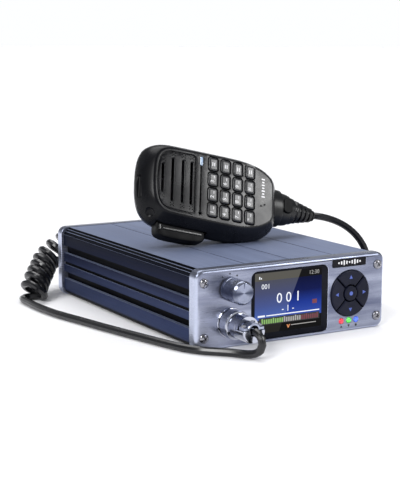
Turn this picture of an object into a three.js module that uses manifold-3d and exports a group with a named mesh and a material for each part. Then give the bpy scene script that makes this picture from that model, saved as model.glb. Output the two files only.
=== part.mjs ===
// A mobile two-way radio with its keypad hand microphone lying on top and the curly cord between
// them. Millimetres, +Z up. The front panel faces -Y, and the origin is the middle of the case's
// underside.
import * as THREE from "three";
import { mergeVertices } from "three/addons/utils/BufferGeometryUtils.js";
import Module from "manifold-3d";

const wasm = await Module();
wasm.setup();

// ---- Driving dimensions ----
const WIDTH = 142.4;
const HEIGHT = 50;
const DEPTH = 204;
const PLATE = 8; // thickness of the front and rear plates
const PLATE_CORNER = 5.5;
const PLATE_EDGE = 2.6; // rounding of a plate's outer edge
const GAP = 0.3; // clearance between neighbouring pieces
const FRONT = -DEPTH / 2;
const REAR = DEPTH / 2;

const CASE_SIDE = 69.4;
const CASE_TOP = 49.6;
const CASE_INSIDE = 62.5;
const WALL = 3;
const SEAM_Z = 25;
const FIN_FLOOR = 66.4; // how far out the floor of a side channel lies
const UPPER_CHANNEL = [31.2, 36.8];
const LOWER_CHANNEL = [12.4, 17.6];
const TOP_LINES = [-31, 2, 35.5];

const SCREW = { x: 65.4, low: 8, high: 42, head: 3, shank: 1.6 };
const DISPLAY = { x: -2.6, z: 23.6, width: 58, height: 44.2, corner: 4, thick: 1.8 };
const SCREEN = { width: 49.4, height: 38.4 };
const KNOB = { x: -47.2, z: 37, radius: 7.4, length: 17 };
const SOCKET = { x: -47, z: 16 };
const PAD = { x: 43.5, z: 25.1, radius: 15, centre: 5, proud: 1.2, groove: 0.6 };
const LAMP = { xs: [37.3, 43.2, 49], z: 7.2, radius: 1.8 };
const BADGE = { x: 42.7, z: 45.5, width: 26.4, height: 5.4 };
const ANTENNA = { x: -45, z: 17, radius: 7.95, length: 20 };
const INLET = { x: 45, z: 18, width: 20, height: 14 };

// The handset's own frame: +X along it to the cord, +Y across it, +Z out of its face.
const HANDSET = { place: [1.5, -24, 85.3], lean: 24, roll: -14.8 };
const BODY = { face: 22.6, side: 7.4, part: -14.6, floor: -29.6 };
const KEYS = { first: -14.2, across: 16.5, pitchX: 9.45, pitchY: 10.95, width: 6.8, height: 9.1 };
const GRILLE_SLOTS = [-52.4, -45.1, -37.8, -30.4];
const BOOT = { start: 40.8, end: 73, axis: -14.6 };

const WIRE = 2.5; // radius of the cord
const COIL = 10.3; // outer radius of the curly stretch

// The cord from the plug to the coil, lying on the floor from the seventh point on.
const PLUG_TAIL = [
  [-47, -130.6, 16],
  [-46.7, -134.2, 15.1],
  [-46.4, -136.7, 12.7],
  [-46.4, -137.6, 9.4],
  [-47, -136.6, 6.1],
  [-48.7, -133.6, 3.7],
  [-51.8, -128.6, 2.7],
  [-56.6, -121.4, 2.6],
  [-62.8, -114.8, 2.6],
  [-69.8, -107.8, 2.6],
  [-76, -97, 2.6],
  [-81, -81, 2.6],
  [-85.6, -63, 2.6],
  [-90, -44.5, 2.6],
  [-95.2, -22, 2.6],
  [-100.4, 3, 2.6],
  [-105.2, 26, 2.6],
  [-107.2, 43, 2.6],
  [-107.9, 58, 2.6],
  [-107.6, 70, 2.6],
];
// The middle of the curly stretch: up from the floor, over the antenna socket and down again.
const COIL_LINE = [
  [-99.5, 80, 0.2],
  [-99.5, 80, 4.8],
  [-97.6, 83, 9.8],
  [-93.2, 88.8, 13.4],
  [-87.9, 95.8, 16.4],
  [-82.5, 103, 19.5],
  [-77.2, 109.9, 22.8],
  [-71, 114.4, 26.4],
  [-63.3, 117, 30.6],
  [-54.5, 118, 34.4],
  [-45, 117.8, 36],
  [-33, 117.6, 33.2],
  [-20, 117.5, 25.4],
  [-8, 117.5, 16.2],
  [4, 117.5, 11.2],
  [18, 117.5, 10.6],
  [36, 117, 10.6],
  [54, 116.5, 10.6],
  [68, 115, 10.6],
  [80, 109.5, 10.6],
  [88.5, 99.5, 10.6],
];
// The cord from the coil up to the handset.
const HANDSET_TAIL = [
  [92.4, 99, 2.6],
  [94.6, 87, 2.6],
  [99.4, 70, 2.6],
  [103.4, 50, 2.6],
  [106.8, 28, 2.6],
  [109, 8, 2.6],
  [110, -8, 2.9],
  [110.4, -22, 5],
  [110.2, -31.5, 12],
  [109, -36.5, 22],
  [107.4, -37.2, 32],
  [105, -35.2, 41],
  [100, -31.4, 49.6],
  [92.5, -27, 56.2],
  [83, -23, 60.6],
  [74.4, -20.2, 62.6],
];

// ---- Materials ----
function paint(color, roughness, metalness = 0) {
  return new THREE.MeshStandardMaterial({ color, roughness, metalness });
}
const SILVER = paint(0xc4c8dc, 0.35, 0.9);
const NAVY = paint(0x2e3550, 0.4, 0.6);
const SLATE = paint(0x8a96ac, 0.45, 0.6);
const CHROME = paint(0xd8dae2, 0.15, 1);
const STEEL = paint(0xb0b2b8, 0.3, 1);
const GLASS = paint(0x0a0c14, 0.08);
const SCREEN_BLUE = paint(0x2f48a8, 0.3);
const KEY_NAVY = paint(0x11142a, 0.4);
const BLACK = paint(0x1c1d21, 0.55);
const RUBBER = paint(0x141518, 0.7);
const KEY_BLACK = paint(0x2a2b30, 0.45);
const BOARD_GREEN = paint(0x1d5a38, 0.6);
const BRASS = paint(0xc2a052, 0.35, 0.9);
const LAMP_COLORS = { red: 0xd02436, green: 0x3fbf3a, blue: 0x3058c8 };

// ---- Solids ----
function solidOf(geometry) {
  const bare = geometry.clone();
  bare.deleteAttribute("normal");
  bare.deleteAttribute("uv");
  const merged = mergeVertices(bare, 1e-4);
  return new wasm.Manifold(
    new wasm.Mesh({
      numProp: 3,
      vertProperties: new Float32Array(merged.attributes.position.array),
      triVerts: new Uint32Array(merged.index.array),
    }),
  );
}

function geometryOf(solid) {
  const mesh = solid.getMesh();
  const geometry = new THREE.BufferGeometry();
  geometry.setAttribute("position", new THREE.BufferAttribute(mesh.vertProperties, 3));
  geometry.setIndex(new THREE.BufferAttribute(mesh.triVerts, 1));
  geometry.computeVertexNormals();
  return geometry;
}

function join(...geometries) {
  return geometryOf(geometries.map(solidOf).reduce((whole, piece) => whole.add(piece)));
}

function cut(geometry, ...tools) {
  return geometryOf(tools.map(solidOf).reduce((left, tool) => left.subtract(tool), solidOf(geometry)));
}

function keep(geometry, region) {
  return geometryOf(solidOf(geometry).intersect(solidOf(region)));
}

function box(x0, x1, y0, y1, z0, z1) {
  const geometry = new THREE.BoxGeometry(x1 - x0, y1 - y0, z1 - z0);
  return geometry.translate((x0 + x1) / 2, (y0 + y1) / 2, (z0 + z1) / 2);
}

function roundedRectangle(x, y, width, height, radius) {
  const shape = new THREE.Shape();
  const [left, right] = [x - width / 2, x + width / 2];
  const [low, high] = [y - height / 2, y + height / 2];
  shape.moveTo(left + radius, low);
  shape.lineTo(right - radius, low);
  shape.absarc(right - radius, low + radius, radius, -Math.PI / 2, 0);
  shape.lineTo(right, high - radius);
  shape.absarc(right - radius, high - radius, radius, 0, Math.PI / 2);
  shape.lineTo(left + radius, high);
  shape.absarc(left + radius, high - radius, radius, Math.PI / 2, Math.PI);
  shape.lineTo(left, low + radius);
  shape.absarc(left + radius, low + radius, radius, Math.PI, 1.5 * Math.PI);
  return shape;
}

// A shape drawn in X and Z, filled from y0 back to y1. rounded takes the edge off both ends.
function slab(shape, y0, y1, rounded = 0, curveSegments = 3) {
  const geometry = new THREE.ExtrudeGeometry(shape, {
    depth: y1 - y0 - 2 * rounded,
    bevelEnabled: rounded > 0,
    bevelThickness: rounded,
    bevelSize: rounded,
    bevelOffset: -rounded,
    bevelSegments: 2,
    curveSegments,
  });
  return geometry.rotateX(Math.PI / 2).translate(0, y1 - rounded, 0);
}

// A turned piece on the Y axis. Its profile is (radius, distance) pairs, anticlockwise.
function turned(profile, segments = 24) {
  return new THREE.LatheGeometry(profile.map(([r, t]) => new THREE.Vector2(r, t)), segments);
}

// The same, pointing out of the front panel or out of the rear panel at x, z.
function outOfFront(profile, x, z, segments) {
  return turned(profile, segments).rotateX(Math.PI).translate(x, FRONT, z);
}
function outOfRear(profile, x, z, segments) {
  return turned(profile, segments).translate(x, REAR, z);
}

// A plain round rod along Y between two depths.
function rod(x, z, radius, y0, y1, segments = 16) {
  const geometry = new THREE.CylinderGeometry(radius, radius, y1 - y0, segments);
  return geometry.translate(x, (y0 + y1) / 2, z);
}

function tube(points, radius, sides, steps) {
  const path = new THREE.CatmullRomCurve3(points.map((p) => new THREE.Vector3(...p)), false, "centripetal");
  const section = new THREE.Shape();
  for (let i = 0; i < sides; i++) {
    const angle = (i / sides) * 2 * Math.PI;
    section[i ? "lineTo" : "moveTo"](radius * Math.cos(angle), radius * Math.sin(angle));
  }
  section.closePath();
  return new THREE.ExtrudeGeometry(section, { steps, extrudePath: path, bevelEnabled: false });
}

const radio = new THREE.Group();
const handset = new THREE.Group();
handset.position.set(...HANDSET.place);
handset.rotateX(THREE.MathUtils.degToRad(90 - HANDSET.lean));
handset.rotateZ(THREE.MathUtils.degToRad(HANDSET.roll));
radio.add(handset);

function piece(name, geometry, material, parent = radio) {
  const mesh = new THREE.Mesh(geometry, material);
  mesh.name = name;
  parent.add(mesh);
}

// ---- The case: two extruded half shells with channels along their sides ----
const SCREW_SPOTS = [-1, 1].flatMap((side) => [SCREW.low, SCREW.high].map((z) => [side * SCREW.x, z]));

function halfShell(rightSide, inside) {
  const left = (points) => points.map(([x, z]) => [-x, z]).reverse();
  const outline = [...rightSide, ...left(rightSide), ...left(inside).reverse(), ...[...inside].reverse()];
  const shape = new THREE.Shape(outline.map(([x, z]) => new THREE.Vector2(x, z)));
  const ends = SCREW_SPOTS.flatMap(([x, z]) => [
    rod(x, z, 1.95, FRONT + PLATE - 1, FRONT + PLATE + 14, 8),
    rod(x, z, 1.95, REAR - PLATE - 14, REAR - PLATE + 1, 8),
  ]);
  return cut(slab(shape, FRONT + PLATE + GAP, REAR - PLATE - GAP), ...ends);
}

function channel([low, high]) {
  return [[CASE_SIDE, low], [FIN_FLOOR, low], [FIN_FLOOR, high], [CASE_SIDE, high]];
}

function upperShell() {
  const side = [
    [CASE_SIDE, SEAM_Z + GAP / 2],
    ...channel(UPPER_CHANNEL),
    [CASE_SIDE, 44.6], [CASE_SIDE - 0.7, 44.6], [CASE_SIDE - 0.7, 45.3], [CASE_SIDE - 0.2, 45.3],
    [68.4, 46.8], [67.4, 46.8], [66.9, 48.3], [65.8, 48.3], [64.8, CASE_TOP],
  ];
  const inside = [[CASE_INSIDE, SEAM_Z + GAP / 2], [CASE_INSIDE, 44], [60, CASE_TOP - WALL]];
  const lines = TOP_LINES.map((x) => box(x - 0.3, x + 0.3, FRONT, REAR, CASE_TOP - 0.5, CASE_TOP + 1));
  return cut(halfShell(side, inside), ...lines);
}

function lowerShell() {
  const side = [
    [CASE_SIDE - 1.2, SEAM_Z - GAP / 2], [CASE_SIDE - 1.2, 22.8],
    [CASE_SIDE, 22.8],
    ...channel(LOWER_CHANNEL).reverse(),
    [CASE_SIDE, 5], [68.2, 2], [65.4, 0],
  ];
  const inside = [[CASE_INSIDE, SEAM_Z - GAP / 2], [CASE_INSIDE, 5], [60, WALL]];
  return halfShell(side, inside);
}

piece("case_upper_shell", upperShell(), SLATE);
piece("case_lower_shell", lowerShell(), NAVY);

// ---- Front and rear plates ----
function plate(front) {
  const shape = roundedRectangle(0, HEIGHT / 2, WIDTH, HEIGHT, PLATE_CORNER);
  const [y0, y1] = front ? [FRONT, FRONT + PLATE] : [REAR - PLATE, REAR];
  const over = 2 * PLATE_EDGE;
  const whole = slab(shape, front ? y0 : y0 - over, front ? y1 + over : y1, PLATE_EDGE);
  return keep(whole, box(-WIDTH, WIDTH, y0, y1, -HEIGHT, 2 * HEIGHT));
}

function frontPanel() {
  const lensPocket = roundedRectangle(DISPLAY.x, DISPLAY.z, DISPLAY.width, DISPLAY.height, DISPLAY.corner);
  const window = roundedRectangle(DISPLAY.x, DISPLAY.z, SCREEN.width + 1, SCREEN.height + 1, 1);
  const badge = roundedRectangle(BADGE.x, BADGE.z, BADGE.width + 0.6, BADGE.height + 0.4, 0.8);
  const back = FRONT + PLATE + 1;
  return cut(
    plate(true),
    slab(lensPocket, FRONT - 1, FRONT + DISPLAY.thick + GAP),
    slab(window, FRONT, back),
    slab(badge, FRONT - 1, FRONT + 0.8),
    rod(KNOB.x, KNOB.z, 4, FRONT - 1, back, 12),
    rod(SOCKET.x, SOCKET.z, 8.1, FRONT - 1, back, 24),
    rod(PAD.x, PAD.z, PAD.radius + GAP, FRONT - 1, back, 32),
    ...LAMP.xs.map((x) => rod(x, LAMP.z, LAMP.radius + GAP, FRONT - 1, back, 12)),
    ...SCREW_SPOTS.map(([x, z]) => rod(x, z, 2, FRONT - 1, back, 10)),
  );
}

function rearPanel() {
  const inlet = roundedRectangle(INLET.x, INLET.z, INLET.width + 0.6, INLET.height + 0.6, 1.5);
  const front = REAR - PLATE - 1;
  return cut(
    plate(false),
    rod(ANTENNA.x, ANTENNA.z, 6.3, front, REAR + 1, 20),
    slab(inlet, front, REAR + 1),
    ...SCREW_SPOTS.map(([x, z]) => rod(x, z, 2, front, REAR + 1, 10)),
  );
}

piece("front_panel", frontPanel(), SILVER);
piece("rear_panel", rearPanel(), SILVER);

// ---- Screws: pan heads with a cross recess ----
function screwProfile() {
  return [
    [0, -18], [SCREW.shank, -18], [SCREW.shank, 0.2], [SCREW.head, 0.2],
    [SCREW.head, 0.8], [2, 1.7], [0, 1.9],
  ];
}

function crossRecess(x, z, y0, y1) {
  return [box(x - 1.7, x + 1.7, y0, y1, z - 0.3, z + 0.3), box(x - 0.3, x + 0.3, y0, y1, z - 1.7, z + 1.7)];
}

SCREW_SPOTS.forEach(([x, z], i) => {
  const front = outOfFront(screwProfile(), x, z, 10);
  const rear = outOfRear(screwProfile(), x, z, 10);
  piece(`front_screw_${i + 1}`, cut(front, ...crossRecess(x, z, FRONT - 3, FRONT - 1)), STEEL);
  piece(`rear_screw_${i + 1}`, cut(rear, ...crossRecess(x, z, REAR + 1, REAR + 3)), STEEL);
});

// ---- Display, badge and status lamps ----
const lens = roundedRectangle(DISPLAY.x, DISPLAY.z, DISPLAY.width - 0.6, DISPLAY.height - 0.6, DISPLAY.corner);
piece("display_lens", slab(lens, FRONT, FRONT + DISPLAY.thick), GLASS);

function screenModule() {
  const glass = roundedRectangle(DISPLAY.x, DISPLAY.z, SCREEN.width, SCREEN.height, 0.8);
  const frame = roundedRectangle(DISPLAY.x, DISPLAY.z + 0.8, 60, 41, 1.5);
  const back = FRONT + PLATE + GAP;
  return join(slab(glass, FRONT + 2.6, back + 1), slab(frame, back, back + 3.4));
}
piece("lcd_module", screenModule(), SCREEN_BLUE);

const badgePlate = roundedRectangle(BADGE.x, BADGE.z, BADGE.width, BADGE.height - 0.2, 0.7);
piece("badge_plate", slab(badgePlate, FRONT - 0.2, FRONT + 0.5), BLACK);

Object.entries(LAMP_COLORS).forEach(([name, color], i) => {
  const profile = [[0, -9], [LAMP.radius, -9], [LAMP.radius, 0.2], [1.1, 0.7], [0, 0.8]];
  piece(`status_lamp_${name}`, outOfFront(profile, LAMP.xs[i], LAMP.z, 12), paint(color, 0.2));
});

// ---- Volume knob on its rotary control ----
function knob() {
  const { radius, length } = KNOB;
  const profile = [
    [3.4, 1], [radius, 1], [radius, length - 1.2], [radius - 1.1, length],
    [0, length], [0, length - 2.4], [3.4, length - 2.4], [3.4, 1],
  ];
  const mark = box(KNOB.x - 0.4, KNOB.x + 0.4, FRONT - length - 1, FRONT - length + 0.5, KNOB.z + 2, KNOB.z + 8);
  return cut(outOfFront(profile, KNOB.x, KNOB.z, 24), mark);
}

function rotaryControl() {
  const bush = [[0, -9], [3.6, -9], [3.6, 0.6], [3, 0.6], [3, KNOB.length - 3], [0, KNOB.length - 3]];
  const body = box(KNOB.x - 6, KNOB.x + 6, FRONT + 8.6, FRONT + 13, KNOB.z - 6, KNOB.z + 6);
  return join(outOfFront(bush, KNOB.x, KNOB.z, 16), body);
}
piece("volume_knob", knob(), CHROME);
piece("volume_control", rotaryControl(), STEEL);

// ---- Five-key pad: four sectors round a centre key ----
function padKeys() {
  const { x, z, radius, centre, proud, groove } = PAD;
  const disc = outOfFront([[0, -7], [radius, -7], [radius, proud - 0.5], [radius - 1, proud], [0, proud]], x, z, 32);
  const hub = rod(x, z, centre + 0.5, FRONT - 3, FRONT + 9, 20);
  const ring = cut(disc, hub);
  const reach = 30;
  for (const [i, name] of ["up", "left", "down", "right"].entries()) {
    const wedge = new THREE.Shape([
      new THREE.Vector2(0, groove),
      new THREE.Vector2(reach, reach + groove),
      new THREE.Vector2(-reach, reach + groove),
    ]);
    const region = slab(wedge, FRONT - 3, FRONT + 9)
      .rotateY((-i * Math.PI) / 2)
      .translate(x, 0, z);
    piece(`pad_key_${name}`, keep(ring, region), KEY_NAVY);
  }
  const cap = [[0, -7], [centre, -7], [centre, proud - 0.1], [centre - 0.6, proud + 0.4], [0, proud + 0.5]];
  piece("pad_key_centre", outOfFront(cap, x, z, 20), KEY_NAVY);
}
padKeys();

// ---- Microphone socket and plug ----
function socket() {
  const profile = [
    [0, -12], [7.8, -12], [7.8, 0.3], [9.4, 0.3], [9.4, 1.6],
    [7.4, 1.6], [7.4, 8], [6.4, 8], [6.4, 2], [0, 2],
  ];
  return outOfFront(profile, SOCKET.x, SOCKET.z, 20);
}

function couplingNut() {
  const profile = [
    [7.8, 2], [9, 2], [9, 9.4], [8.6, 9.9], [7.2, 9.9], [7.2, 8.6], [7.8, 8.4], [7.8, 2],
  ];
  return outOfFront(profile, SOCKET.x, SOCKET.z, 20);
}

function plugShell() {
  const profile = [
    [0, 2.4], [6, 2.4], [6, 8.3], [6.8, 8.3], [6.8, 10.2], [7.7, 10.2],
    [7.7, 27.4], [7.2, 28], [0, 28],
  ];
  const { x, z } = SOCKET;
  const saddleSeat = box(x - 9, x + 9, FRONT - 29, FRONT - 21, z + 0.4, z + 9);
  const bore = rod(x, z, 3, FRONT - 29, FRONT - 12, 12);
  return cut(outOfFront(profile, x, z, 20), saddleSeat, bore);
}

function cableClamp() {
  const { x, z } = SOCKET;
  const strap = new THREE.Shape();
  strap.moveTo(x - 7, z + 0.8);
  strap.lineTo(x - 3, z + 0.8);
  strap.absarc(x, z + 0.8, 3, Math.PI, 0, true);
  strap.lineTo(x + 7, z + 0.8);
  strap.lineTo(x + 7, z + 2.6);
  strap.lineTo(x + 4.4, z + 2.6);
  strap.absarc(x, z + 0.8, 4.6, Math.asin(1.8 / 4.6), Math.PI - Math.asin(1.8 / 4.6));
  strap.lineTo(x - 7, z + 2.6);
  const screws = [-5.6, 5.6].map((dx) => {
    const screw = new THREE.CylinderGeometry(1.1, 1.1, 2, 10);
    return screw.rotateX(Math.PI / 2).translate(x + dx, FRONT - 24.6, z + 3.2);
  });
  return join(slab(strap, FRONT - 27.6, FRONT - 21.8, 0, 8), ...screws);
}
piece("mic_socket", socket(), CHROME);
piece("plug_coupling_nut", couplingNut(), CHROME);
piece("plug_shell", plugShell(), CHROME);
piece("plug_cable_clamp", cableClamp(), STEEL);

// ---- Behind the plates: circuit boards, antenna socket and power inlet ----
piece("front_board", box(-59, 59, FRONT + 13.4, FRONT + 15, 4, 45), BOARD_GREEN);
piece("main_board", box(-60, 60, FRONT + 24, REAR - 22, 9, 10.6), BOARD_GREEN);

function antennaSocket() {
  const { radius, length } = ANTENNA;
  const profile = [
    [0, -12], [6, -12], [6, 0.3], [10.5, 0.3], [10.5, 2.3], [radius, 2.3], [radius, length],
    [6.3, length], [6.3, length - 9], [4.6, length - 9], [4.6, length - 1.5],
    [1.6, length - 1.5], [1.6, length - 10], [0, length - 10],
  ];
  return outOfRear(profile, ANTENNA.x, ANTENNA.z, 16);
}

function powerInlet() {
  const outer = roundedRectangle(INLET.x, INLET.z, INLET.width, INLET.height, 1.2);
  const lip = roundedRectangle(INLET.x, INLET.z, INLET.width + 4, INLET.height + 4, 2);
  const hollow = roundedRectangle(INLET.x, INLET.z, INLET.width - 4, INLET.height - 4, 0.8);
  const pins = [-4, 4].map((dx) => rod(INLET.x + dx, INLET.z, 1, REAR - 8.5, REAR - 1, 8));
  const shell = join(slab(outer, REAR - 10, REAR + 1), slab(lip, REAR + GAP, REAR + 2));
  return join(cut(shell, slab(hollow, REAR - 8, REAR + 3)), ...pins);
}
piece("antenna_socket", antennaSocket(), CHROME);
piece("power_inlet", powerInlet(), BLACK);

// ---- Handset shells ----
// Outline of the handset's face, drawn in from its edge by inset.
function faceOutline(inset) {
  const half = BODY.face - inset;
  const tip = 33 - inset;
  const shape = new THREE.Shape();
  shape.moveTo(-57 + inset, 0);
  shape.bezierCurveTo(-57 + inset, half * 0.62, -53 + inset, half * 0.93, -43, half * 0.97);
  shape.lineTo(2, half);
  shape.bezierCurveTo(16, half, 25, half * 0.86, tip - 2, half * 0.66);
  shape.quadraticCurveTo(tip, half * 0.56, tip, half * 0.36);
  shape.lineTo(tip, -half * 0.36);
  shape.quadraticCurveTo(tip, -half * 0.56, tip - 2, -half * 0.66);
  shape.bezierCurveTo(25, -half * 0.86, 16, -half, 2, -half);
  shape.lineTo(-43, -half * 0.97);
  shape.bezierCurveTo(-53 + inset, -half * 0.93, -57 + inset, -half * 0.62, -57 + inset, 0);
  return shape;
}

// The face's outline swelling to the parting line, between two heights.
function shellForm(outline, flat, widest, rounds) {
  const rise = Math.abs(flat - widest);
  const geometry = new THREE.ExtrudeGeometry(outline, {
    depth: 6,
    bevelThickness: rise,
    bevelSize: BODY.side,
    bevelSegments: rounds,
    curveSegments: 4,
  });
  return flat > widest ? geometry.translate(0, 0, widest - 6) : geometry.translate(0, 0, widest);
}

function keyRows() {
  const names = ["one", "two", "three", "a", "four", "five", "six", "b"];
  names.push("seven", "eight", "nine", "c", "star", "zero", "hash", "d");
  return names.map((name, i) => {
    const x = KEYS.first + KEYS.pitchX * Math.floor(i / 4);
    const y = -KEYS.across + KEYS.pitchY * (i % 4);
    return { name: `mic_key_${name}`, x, y };
  });
}

function prism(shape, z0, z1, rounded = 0, curveSegments = 1) {
  const geometry = new THREE.ExtrudeGeometry(shape, {
    depth: z1 - z0 - 2 * rounded,
    bevelEnabled: rounded > 0,
    bevelThickness: rounded,
    bevelSize: rounded,
    bevelOffset: -rounded,
    bevelSegments: 1,
    curveSegments,
  });
  return geometry.translate(0, 0, z0 + rounded);
}

// A turned piece whose axis runs along the handset.
function alongHandset(profile, segments) {
  return turned(profile, segments).rotateZ(-Math.PI / 2).translate(0, 0, BOOT.axis);
}

const TALK_POCKET = () => box(-54.2, -9.8, -32, -24, -18.4, -6.6);
const BOOT_HOLE = () => alongHandset([[0, 24], [7.4, 24], [7.4, 45], [0, 45]], 20);

function micFrontShell() {
  const widest = BODY.part + 2.6;
  const outer = shellForm(faceOutline(0), 0, widest, 3);
  const inner = shellForm(faceOutline(2.2), -2.2, widest, 2);
  const region = box(-80, 80, -40, 40, BODY.part + GAP / 2, 5);
  const holes = keyRows().map(({ x, y }) => {
    return prism(roundedRectangle(x, y, KEYS.width + 0.7, KEYS.height + 0.7, 1.6), -4, 2);
  });
  const slots = GRILLE_SLOTS.map((x, i) => {
    return prism(roundedRectangle(x, 0, 2, i ? 33 : 27, 0.9), -4, 2);
  });
  const lampSlot = prism(roundedRectangle(-23, 16.8, 2.6, 6.6, 0.6), -4, 2);
  return cut(keep(cut(outer, inner), region), ...holes, ...slots, lampSlot, TALK_POCKET(), BOOT_HOLE());
}

function micBackShell() {
  const widest = BODY.part - 1;
  const outer = shellForm(faceOutline(2.6), BODY.floor, widest, 1);
  const thick = 2.4;
  const inner = shellForm(faceOutline(2.6 + thick), BODY.floor + thick, widest, 1);
  const region = box(-80, 80, -40, 40, -40, BODY.part - GAP / 2);
  const studHole = turned([[0, -40], [2, -40], [2, -20], [0, -20]], 12).rotateX(Math.PI / 2);
  const hole = studHole.translate(-24, 0, 0);
  return cut(keep(cut(outer, inner), region), TALK_POCKET(), BOOT_HOLE(), hole);
}

piece("mic_front_shell", micFrontShell(), BLACK, handset);
piece("mic_back_shell", micBackShell(), BLACK, handset);

for (const { name, x, y } of keyRows()) {
  const cap = roundedRectangle(x, y, KEYS.width, KEYS.height, 1.4);
  piece(name, prism(cap, -2.8, 1.1, 0, 2), KEY_BLACK, handset);
}

// ---- Talk button on the handset's lower side ----
function talkButton() {
  const shape = new THREE.Shape();
  shape.moveTo(-53, -26.5);
  shape.lineTo(-53, -33.6);
  shape.quadraticCurveTo(-52, -36.4, -47, -37.2);
  shape.quadraticCurveTo(-33, -39, -16, -35.8);
  shape.quadraticCurveTo(-11.6, -35, -11, -31.6);
  shape.lineTo(-11, -26.5);
  return prism(shape, -17.6, -7.4, 1.4, 3);
}
piece("talk_button", talkButton(), RUBBER, handset);

// ---- Inside and on the ends of the handset ----
const micLamp = roundedRectangle(-23, 16.8, 2, 6, 0.5);
piece("mic_lamp_window", prism(micLamp, -3.4, 0.1), GLASS, handset);

const cone = [[0, -13], [9, -13], [9, -10], [17, -6], [17, -4.4], [0, -4.4]];
piece("mic_speaker", turned(cone, 14).rotateX(Math.PI / 2).translate(-40, 0, 0), STEEL, handset);
piece("mic_board", box(-19, 23, -18, 18, -6.4, -4.8), BOARD_GREEN, handset);

const stud = [[0, -36], [6, -36], [6, -34], [3.4, -33], [3.4, -29.9], [1.7, -29.9], [1.7, -24], [0, -24]];
piece("hang_up_stud", turned(stud, 12).rotateX(Math.PI / 2).translate(-24, 0, 0), BRASS, handset);

function boot() {
  const { start, end } = BOOT;
  const rings = [0, 1, 2].flatMap((i) => {
    const at = start + 19 + i * 4.2;
    const radius = 6.4 - i * 0.8;
    return [[radius, at], [radius, at + 2.4], [radius - 1.3, at + 2.4], [radius - 1.3, at + 4.2]];
  });
  const profile = [
    [0, 24.5], [8.4, 24.5], [8.4, 28], [7, 28], [7, start], [14, start],
    [13.4, start + 6], [10.4, start + 7], [9.6, start + 17], [6.4, start + 18.6],
    ...rings, [3.7, end], [0, end],
  ];
  return alongHandset(profile, 14);
}
piece("mic_boot", boot(), RUBBER, handset);

// ---- The cord ----
piece("cord_plug_tail", tube(PLUG_TAIL, WIRE, 8, 30), RUBBER);
piece("cord_coil", tube(COIL_LINE, COIL, 10, 24), RUBBER);
piece("cord_handset_tail", tube(HANDSET_TAIL, WIRE, 8, 28), RUBBER);

export default radio;
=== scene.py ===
"""A mobile two-way radio with its keypad hand microphone on top and a curly cord between them.

Lengths are in millimetres and MM turns them into the frame's metres. The front panel faces -Y.
"""

import math

import bmesh
import bpy
from mathutils import Matrix, Vector
from mathutils.geometry import interpolate_bezier


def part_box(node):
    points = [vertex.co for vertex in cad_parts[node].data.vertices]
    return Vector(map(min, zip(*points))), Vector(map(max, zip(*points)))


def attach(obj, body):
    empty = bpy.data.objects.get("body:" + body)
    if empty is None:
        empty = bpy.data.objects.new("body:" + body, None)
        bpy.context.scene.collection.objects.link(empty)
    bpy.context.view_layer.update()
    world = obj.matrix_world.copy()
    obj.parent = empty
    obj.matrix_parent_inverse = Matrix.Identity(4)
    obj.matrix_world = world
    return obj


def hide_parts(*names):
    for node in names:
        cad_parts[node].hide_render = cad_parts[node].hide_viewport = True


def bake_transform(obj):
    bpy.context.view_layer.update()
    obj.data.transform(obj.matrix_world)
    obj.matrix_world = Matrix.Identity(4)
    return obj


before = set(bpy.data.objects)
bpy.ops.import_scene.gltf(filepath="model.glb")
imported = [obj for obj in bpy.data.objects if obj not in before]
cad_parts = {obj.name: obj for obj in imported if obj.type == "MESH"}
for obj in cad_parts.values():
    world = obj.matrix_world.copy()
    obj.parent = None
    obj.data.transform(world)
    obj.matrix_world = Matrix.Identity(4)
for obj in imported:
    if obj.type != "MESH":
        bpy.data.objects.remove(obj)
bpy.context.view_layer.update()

MM = 0.001


def middle(node):
    """The middle of a CAD node's box, in millimetres."""
    low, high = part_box(node)
    return (Vector(low) + Vector(high)) / 2 / MM


def put(name, data):
    """A new object in the scene."""
    made = bpy.data.objects.new(name, data)
    bpy.context.scene.collection.objects.link(made)
    return made


def turn_to(thing, rotation):
    thing.rotation_mode = "QUATERNION"
    thing.rotation_quaternion = rotation


# ---- Driving dimensions ----
PANEL_LOW, PANEL_HIGH = (Vector(corner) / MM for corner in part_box("front_panel"))
FRONT = PANEL_LOW.y
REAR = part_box("rear_panel")[1][1] / MM
PANEL_WIDTH = PANEL_HIGH.x - PANEL_LOW.x
PANEL_HEIGHT = PANEL_HIGH.z - PANEL_LOW.z
PANEL_THICK = PANEL_HIGH.y - PANEL_LOW.y
PANEL_CORNER = 5.5
PANEL_EDGE = 2.6
GAP = 0.3

LENS = middle("display_lens")
LENS_SIZE = (57.4, 43.6)
LENS_CORNER = 4
SCREEN_SIZE = (50.3, 38)
SCREEN = Vector((LENS.x - 1.35, LENS.z + 1.7))  # the picture's middle
KNOB = middle("volume_knob")
SOCKET = middle("mic_socket")
PAD = middle("pad_key_centre")
PAD_RADIUS = 15
BADGE = middle("badge_plate")
BADGE_SIZE = (26.4, 5.2)

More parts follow.
